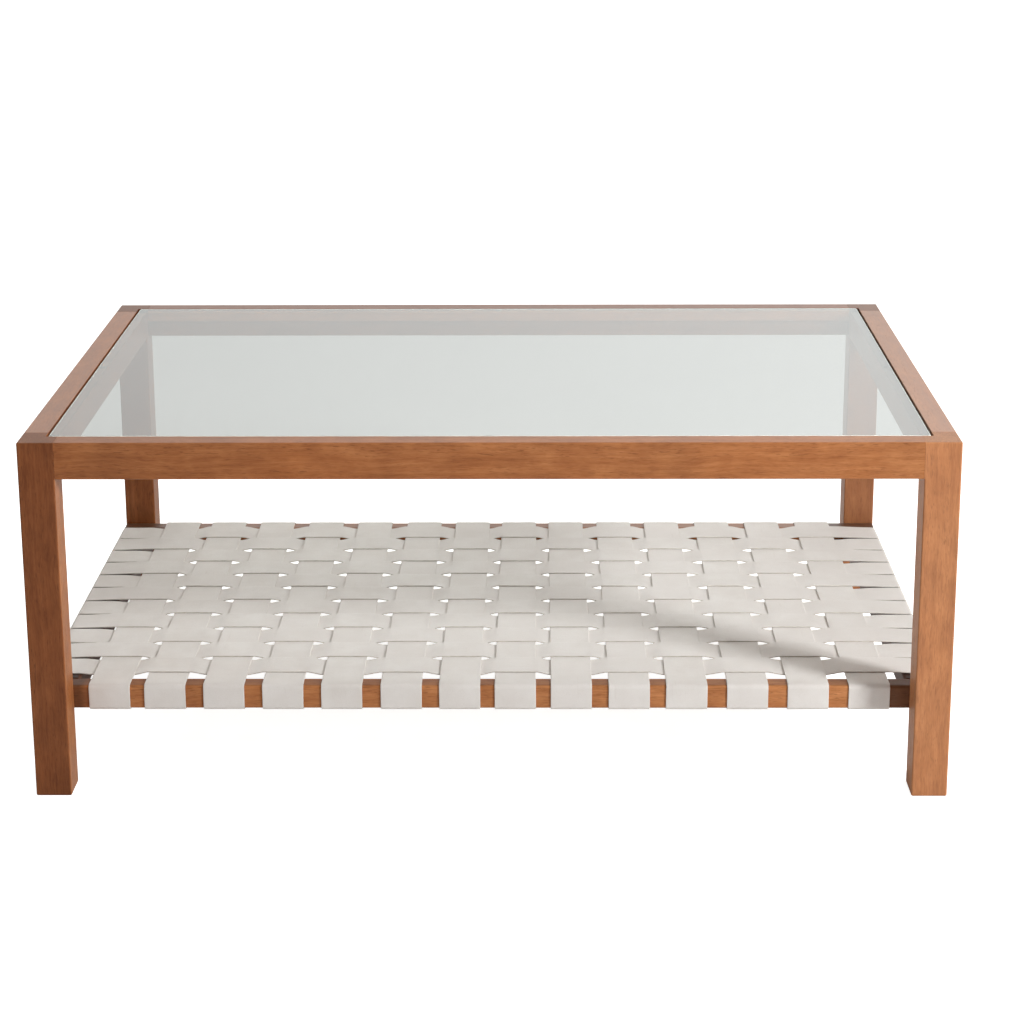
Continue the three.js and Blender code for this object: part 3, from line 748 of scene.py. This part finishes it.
def leather():
    material, s = new_material("strap_leather")
    place = s.add("ShaderNodeAttribute", attribute_name="strap_place").outputs["Vector"]
    side = s.add("ShaderNodeAttribute", attribute_name="strap_side").outputs["Fac"]

    def noise(key):
        stretch, *settings = LEATHER_NOISE[key]
        return s.noise(s.vector("MULTIPLY", place, stretch) if stretch else place, *settings)

    def spread(key, value, smooth=False):
        return s.spread(value, *LEATHER_SPREADS[key], smooth=smooth)

    mottle = noise("mottle")
    colour = s.mix(spread("mottle", mottle), LEATHER_DARK, LEATHER_PALE)
    colour = s.mix(spread("tone", noise("tone")), colour, LEATHER_WARM)
    # The smooth side: fine pebbled grain, hair pores and a few long scuffs
    cells = s.add("ShaderNodeTexVoronoi", {"Vector": place, "Scale": PEBBLE_SCALE},
                  feature="DISTANCE_TO_EDGE")
    grain = spread("grain", cells.outputs["Distance"], smooth=True)
    fine = noise("fine")
    pore = spread("pores", noise("pores"), smooth=True)
    scuff = spread("scuffs", noise("scuffs"), smooth=True)
    furrow = s.math("SUBTRACT", 1.0, grain)
    for share, mark, mark_colour in ((GRAIN_LINE_SHARE, furrow, GRAIN_LINE),
                                     (HAIR_PORE_SHARE, pore, HAIR_PORE),
                                     (SCUFF_SHARE, scuff, SCUFF)):
        colour = s.mix(s.math("MULTIPLY", mark, share), colour, mark_colour)
    # The cut edge shows its fibre layers, and the other side is suede
    cut = s.mix(spread("layers", noise("layers")), CUT_DARK, CUT_PALE)
    suede = s.mix(spread("nap", noise("nap")), SUEDE_DARK, SUEDE_PALE)
    is_cut = spread("is_cut", side)
    colour = s.mix(spread("is_suede", side), s.mix(is_cut, colour, cut), suede)

    rough = s.math("ADD", spread("roughness", mottle), s.math("MULTIPLY", is_cut, CUT_ROUGHER),
                   clamp=True)
    height = s.summed([(PEBBLE_HEIGHT, grain), (FINE_GRAIN_HEIGHT, fine), (HAIR_PORE_HEIGHT, pore)])
    normal = s.bump(height, *GRAIN_BUMP)
    normal = s.bump(noise("creases"), *CREASE_BUMP, normal)
    s.principled({"Base Color": colour, "Roughness": rough, "Normal": normal, **LEATHER_GLOSS})
    return material


strap_leather = leather()


def goes_over(row, warp):
    return (row + warp) % 2 == 1


def lift_place(row, warp):
    """Where a weft's end leaves the level of the rails, near the first or last warp."""
    if goes_over(row, warp):
        return SHELF_HALF_WIDTH - SHELF_EDGE - WEFT_LIFT_SPACE
    return CLEAR_HALF_WIDTH + SHELF_EDGE


def weft_line(row):
    start, end = -lift_place(row, 0), lift_place(row, WARP_COUNT - 1)

    def crossing(line):
        half = WARP_WIDTH / 2 + EDGE_ROOM
        for i in range(WARP_COUNT):
            level = RAIL_LEVEL + (CROSSING_RISE if goes_over(row, i) else -CROSSING_RISE)
            line.bend(warp_centre(i) - half, level)
            line.to(warp_centre(i) + half, level)
        line.bend(end, RAIL_LEVEL)
    return strap_line(SHELF_HALF_WIDTH, WEFT_UNDER, start, end, crossing)


warp_line = strap_line(SHELF_HALF_DEPTH, WARP_UNDER, -CLEAR_HALF_DEPTH, CLEAR_HALF_DEPTH)
for i in range(WARP_COUNT):
    name = f"warp_leather_{i + 1:02d}"
    data = strap_mesh(name, warp_line, WARP_WIDTH, warp_centre(i), False, WARP_SEED + i)
    add_piece(name, data, [strap_leather], [f"warp_strap_{i + 1:02d}"])
for row in range(WEFT_COUNT):
    name = f"weft_leather_{row + 1:02d}"
    data = strap_mesh(name, weft_line(row), WEFT_WIDTH, weft_centre(row), True, WEFT_SEED + row)
    add_piece(name, data, [strap_leather], [f"weft_strap_{row + 1:02d}"])


# Fasteners
# Staples hold the straps' ends under the rails, and screws hold the cleats. Sizes in millimetres.
STAPLE_CROWN, STAPLE_WIRE, STAPLE_HEIGHT = 11.0, 1.1, 0.7
STAPLE_PRESSED, STAPLE_EASE = 0.2, 0.2
STAPLE_FROM_END, STAPLE_FROM_MIDDLE = 7.0, 11.0
STAPLE_SLIP_ACROSS, STAPLE_SLIP_ALONG, STAPLE_TURN = 1.2, 0.8, 0.09
SCREW_HEAD, SCREW_PROUD, SCREW_SUNK = 4.0, 0.35, 1.6
SCREW_SLOT_LONG, SCREW_SLOT_WIDE, SCREW_SLOT_DEPTH_SHARE = 2.3, 0.5, 0.7
SCREWS_PER_CLEAT, SCREW_SIDES = 6, 28
STAPLE_SEED, SCREW_SEED = 300, 310
STEEL = (0.56, 0.54, 0.50, 1.0)
STEEL_SCALE, STEEL_DETAIL, STEEL_ROUGHNESS = 900.0, 3.0, (0.3, 0.7, 0.26, 0.46)


def steel():
    material, s = new_material("fastener_steel")
    place = s.add("ShaderNodeTexCoord").outputs["Object"]
    rough = s.spread(s.noise(place, STEEL_SCALE, STEEL_DETAIL), *STEEL_ROUGHNESS)
    s.principled({"Roughness": rough, "Base Color": STEEL, "Metallic": 1.0})
    return material


def add_box(mesh, centre, size, turn, ease):
    """A box with eased arrises, turned about the vertical."""
    place = Matrix.Translation(centre) @ Matrix.Rotation(turn, 4, "Z")
    made = bmesh.ops.create_cube(mesh, size=1.0, matrix=place @ Matrix.Diagonal((*size, 1.0)))
    edges = {e for v in made["verts"] for e in v.link_edges}
    bmesh.ops.bevel(mesh, geom=list(edges), offset=ease, offset_type="OFFSET",
                    segments=EASE_SEGMENTS, profile=0.5, affect="EDGES")


def staples(name, centres, along_x, strap_end, seed):
    """Two staples at each strap's end. The crowns lie across the strap."""
    chance = random.Random(seed)
    mesh = bmesh.new()
    level = SHELF_BOTTOM - STRAP_GAP - STRAP_THICKNESS + STAPLE_PRESSED - STAPLE_HEIGHT / 2
    size = [v * MM for v in (STAPLE_CROWN, STAPLE_WIRE, STAPLE_HEIGHT)]
    for centre in centres:
        for side in (-1, 1):
            across = centre + side * STAPLE_FROM_MIDDLE
            across += chance.uniform(-STAPLE_SLIP_ACROSS, STAPLE_SLIP_ACROSS)
            along = strap_end + chance.uniform(-STAPLE_SLIP_ALONG, STAPLE_SLIP_ALONG)
            spot = (along, across, level) if along_x else (across, along, level)
            turn = chance.uniform(-STAPLE_TURN, STAPLE_TURN) + (math.pi / 2 if along_x else 0)
            add_box(mesh, Vector(spot) * MM, size, turn, STAPLE_EASE * MM)
    return finish_mesh(name, mesh)


def cleat_screws(name, low, high, seed):
    """Sunk screw heads with a cross slot, seen from below."""
    chance = random.Random(seed)
    mesh = bmesh.new()
    circle = [(SCREW_HEAD * math.cos(a), SCREW_HEAD * math.sin(a))
              for a in (2 * math.pi * i / SCREW_SIDES for i in range(SCREW_SIDES))]
    w, r = SCREW_SLOT_WIDE, SCREW_SLOT_LONG
    cross = [(a * math.cos(q) - b * math.sin(q), a * math.sin(q) + b * math.cos(q))
             for q in (i * math.pi / 2 for i in range(4)) for a, b in ((w, w), (w, r), (-w, r))]
    for k in range(SCREWS_PER_CLEAT):
        x = low.x + (high.x - low.x) * (k + 0.5) / SCREWS_PER_CLEAT
        y = (low.y + high.y) / 2
        turn = chance.uniform(0, math.pi)
        place = Matrix.Translation((x, y, low.z)) @ Matrix.Rotation(turn, 4, "Z")

        def loop(points, level):
            verts = [mesh.verts.new(place @ Vector((a * MM, b * MM, level * MM)))
                     for a, b in points]
            count = len(verts)
            edges = [mesh.edges.new((verts[i], verts[(i + 1) % count])) for i in range(count)]
            return verts, edges

        def wall(first, second):
            for i in range(len(first)):
                j = (i + 1) % len(first)
                mesh.faces.new((first[i], first[j], second[j], second[i]))

        rim, rim_edges = loop(circle, -SCREW_PROUD)
        slot, slot_edges = loop(cross, -SCREW_PROUD)
        bmesh.ops.triangle_fill(mesh, use_beauty=True, edges=rim_edges + slot_edges)
        seat, _ = loop(circle, SCREW_SUNK)
        floor_of_slot, _ = loop(cross, SCREW_SUNK * SCREW_SLOT_DEPTH_SHARE)
        wall(rim, seat)
        wall(slot, floor_of_slot)
        mesh.faces.new(seat)
        mesh.faces.new(floor_of_slot)
    bmesh.ops.recalc_face_normals(mesh, faces=mesh.faces)
    return finish_mesh(name, mesh)


fastener_steel = steel()
warp_centres = [warp_centre(i) for i in range(WARP_COUNT)]
weft_centres = [weft_centre(row) for row in range(WEFT_COUNT)]
warp_end = SHELF_HALF_DEPTH - WARP_UNDER + STAPLE_FROM_END
weft_end = SHELF_HALF_WIDTH - WEFT_UNDER + STAPLE_FROM_END
for number, (name, centres, along_x, strap_end) in enumerate([
        ("staples_front", warp_centres, False, -warp_end),
        ("staples_back", warp_centres, False, warp_end),
        ("staples_left", weft_centres, True, -weft_end),
        ("staples_right", weft_centres, True, weft_end)]):
    data = staples(name, centres, along_x, strap_end, STAPLE_SEED + number)
    add_piece(name, data, [fastener_steel])
for number, node in enumerate(("glass_cleat_front", "glass_cleat_back")):
    low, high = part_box(node)
    name = f"{node}_screws"
    data = cleat_screws(name, Vector(low), Vector(high), SCREW_SEED + number)
    add_piece(name, data, [fastener_steel])


# Glass
GLASS_IOR = 1.5
# How much the glass mirrors: a low share everywhere that rises steeply at a low angle, and a sheen
MIRROR_LEAST, MIRROR_RISE, MIRROR_POWER = 0.04, 0.96, 3.4
MIRROR_SHEEN = (0.50, 0.72, 0.0, 0.10)
MIRROR_COLOUR = (0.985, 1.0, 0.992, 1.0)
# Wiped smears vary the gloss
SMEAR_STRETCH, SMEAR_DETAIL, SMEAR_ROUGHNESS = (3.0, 9.0, 1.0), 4.0, 0.6
SMEAR_GLOSS = (0.35, 0.75, 0.015, 0.07)
# A low line of sight has a longer way through the glass and is dimmed more
STEEP_TINT, LOW_TINT, TINT_ANGLES = (0.915, 0.928, 0.922), (0.757, 0.775, 0.768), (0.40, 0.72)
DAYLIGHT_THROUGH = (0.740, 0.760, 0.752, 1.0)
GROUND_EDGE, EDGE_FACING = (0.90, 0.92, 0.84, 1.0), (0.85, 0.97, 1.0, 0.0)


def glass():
    """Clear float glass with ground edges, through which daylight passes in part."""
    material, s = new_material("clear_glass")
    low_angle = s.add("ShaderNodeLayerWeight").outputs["Facing"]
    share = s.math("POWER", low_angle, MIRROR_POWER)
    share = s.math("MULTIPLY_ADD", share, MIRROR_RISE, MIRROR_LEAST)
    share = s.math("ADD", share, s.spread(low_angle, *MIRROR_SHEEN, smooth=True), clamp=True)
    place = s.add("ShaderNodeTexCoord").outputs["Object"]
    smear = s.noise(s.vector("MULTIPLY", place, SMEAR_STRETCH), 1.0, SMEAR_DETAIL, SMEAR_ROUGHNESS)
    tint = s.mix(s.spread(low_angle, *TINT_ANGLES), STEEP_TINT, LOW_TINT)
    clear = s.add("ShaderNodeBsdfRefraction", {"Color": tint, "Roughness": 0.0, "IOR": GLASS_IOR})
    shine = s.add("ShaderNodeBsdfGlossy", {
        "Roughness": s.spread(smear, *SMEAR_GLOSS), "Color": MIRROR_COLOUR})
    facing = s.add("ShaderNodeNewGeometry").outputs["Normal"]
    level = s.math("ABSOLUTE", s.vector("DOT_PRODUCT", facing, (0, 0, 1)))
    edge = s.add("ShaderNodeBsdfDiffuse", {"Color": GROUND_EDGE})
    through = s.add("ShaderNodeBsdfTransparent", {"Color": DAYLIGHT_THROUGH})
    shadow = s.add("ShaderNodeLightPath").outputs["Is Shadow Ray"]

    def blend(factor, first, second):
        return s.add("ShaderNodeMixShader", {
            "Fac": factor, 1: first.outputs[0], 2: second.outputs[0]})

    body = blend(share, clear, shine)
    ground = blend(s.spread(level, *EDGE_FACING), body, edge)
    s.finish(blend(shadow, ground, through).outputs[0])
    return material


# Pads and dowels: two colours, the scale of their pattern and the least roughness
PAD_RUBBER = ((0.33, 0.30, 0.27), (0.39, 0.36, 0.33), 300.0, 0.35)
DOWEL_BEECH = ((0.52, 0.36, 0.20), (0.62, 0.45, 0.27), 240.0, 0.6)
PLAIN_DETAIL, PLAIN_SPREAD, PLAIN_ROUGHER, PLAIN_BUMP = 3.0, (0.3, 0.7), 0.12, (0.0002, 0.5)


def plain(name, base, other, scale, roughness):
    material, s = new_material(name)
    pattern = s.noise(s.add("ShaderNodeTexCoord").outputs["Object"], scale, PLAIN_DETAIL)
    s.principled({
        "Base Color": s.mix(s.spread(pattern, *PLAIN_SPREAD), base, other),
        "Roughness": s.spread(pattern, *PLAIN_SPREAD, roughness, roughness + PLAIN_ROUGHER),
        "Normal": s.bump(pattern, *PLAIN_BUMP)})
    return material


def dress(node, material):
    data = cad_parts[node].data
    data.materials.clear()
    data.materials.append(material)


pad_rubber = plain("clear_pad", *PAD_RUBBER)
dowel_wood = plain("dowel_wood", *DOWEL_BEECH)
dress("glass_top", glass())
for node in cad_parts:
    if node.startswith("glass_pad_"):
        dress(node, pad_rubber)
    elif node.startswith("shelf_dowel_"):
        dress(node, dowel_wood)


# Floor
FLOOR_REACH = 30.0
PAPER_DARK, PAPER_PALE = (0.84, 0.84, 0.84), (0.86, 0.86, 0.86)
PAPER_SCALE, PAPER_DETAIL, PAPER_SPREAD = 3.0, 2.0, (0.3, 0.7)
PAPER_ROUGHNESS, PAPER_SPECULAR = 0.9, 0.1
# How much the paper glows by itself, for light and reflections and for the camera
PAPER_GLOW, PAPER_GLOW_SEEN = 0.06, 0.86


def paper():
    material, s = new_material("floor_paper")
    pattern = s.noise(s.add("ShaderNodeTexCoord").outputs["Object"], PAPER_SCALE, PAPER_DETAIL)
    seen = s.add("ShaderNodeLightPath").outputs["Is Camera Ray"]
    s.principled({
        "Base Color": s.mix(s.spread(pattern, *PAPER_SPREAD), PAPER_DARK, PAPER_PALE),
        "Roughness": PAPER_ROUGHNESS,
        "Specular IOR Level": PAPER_SPECULAR,
        "Emission Color": (1, 1, 1, 1),
        "Emission Strength": s.spread(seen, 0.0, 1.0, PAPER_GLOW, PAPER_GLOW_SEEN)})
    return material


floor_data = bpy.data.meshes.new("floor")
corners = [(FLOOR_REACH * x, FLOOR_REACH * y, 0) for x, y in ((-1, -1), (1, -1), (1, 1), (-1, 1))]
floor_data.from_pydata(corners, [], [(0, 1, 2, 3)])
floor_data.materials.append(paper())
floor = bpy.data.objects.new("floor", floor_data)
scene.collection.objects.link(floor)
floor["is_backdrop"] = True

# Lights: name, place, what it faces, size, power and colour
LIGHTS = [
    ("key", (2.75, -1.95, 1.75), (0.35, -0.25, 0.25), (0.6, 0.6), 113.0, (0.965, 1.0, 1.01)),
    ("overhead", (0.0, 0.6, 3.6), (0.0, 0.0, 0.3), (3.0, 2.4), 38.0, (1.0, 0.985, 0.95)),
    ("fill", (-2.4, -3.0, 1.2), (-0.3, 0.0, 0.2), (1.6, 1.2), 6.0, (1.0, 0.88, 0.86)),
]


def area_light(name, place, target, size, power, colour):
    data = bpy.data.lights.new(name, "AREA")
    data.shape = "RECTANGLE"
    data.size, data.size_y = size
    data.energy = power
    data.color = colour
    light = bpy.data.objects.new(name, data)
    light.location = place
    light.rotation_mode = "QUATERNION"
    light.rotation_quaternion = (Vector(target) - Vector(place)).to_track_quat("-Z", "Y")
    scene.collection.objects.link(light)


for light in LIGHTS:
    area_light(*light)

# Background: the studio is brighter behind the table, and what gloss mirrors has its own strengths
LIT_BY_DEPTH = (-0.25, 0.75, 0.18, 0.80)
MIRRORED_BY_DEPTH, MIRRORED_BY_SIDE = (-0.25, 0.75, 0.27, 0.80), (-0.22, 0.22, 0.95, 1.38)
SEEN_STRENGTH = 1.02
BACKGROUND_TINT, DIFFUSE_TINT = (0.985, 1.0, 0.995), (1.0, 0.955, 0.885)


def studio():
    world = bpy.data.worlds.new("studio")
    scene.world = world
    world.use_nodes = True
    s = Shader(world.node_tree)
    place = s.add("ShaderNodeTexCoord").outputs["Generated"]
    direction = s.add("ShaderNodeSeparateXYZ", {"Vector": place})
    ray = s.add("ShaderNodeLightPath")
    lit = s.spread(direction.outputs["Y"], *LIT_BY_DEPTH, smooth=True)
    mirrored = s.spread(direction.outputs["Y"], *MIRRORED_BY_DEPTH, smooth=True)
    mirrored = s.math("MULTIPLY", mirrored, s.spread(direction.outputs["X"], *MIRRORED_BY_SIDE))
    strength = s.spread(ray.outputs["Is Glossy Ray"], 0.0, 1.0, lit, mirrored)
    seen = s.math("MULTIPLY", ray.outputs["Is Camera Ray"], SEEN_STRENGTH)
    strength = s.math("MAXIMUM", strength, seen)
    tint = s.mix(ray.outputs["Is Diffuse Ray"], BACKGROUND_TINT, DIFFUSE_TINT)
    background = s.add("ShaderNodeBackground", {"Strength": strength, "Color": tint})
    output = s.add("ShaderNodeOutputWorld")
    s.tree.links.new(background.outputs[0], output.inputs["Surface"])


studio()
scene.view_settings.view_transform = "Standard"
scene.view_settings.look = "None"
scene.view_settings.exposure = 0.0

low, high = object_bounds()
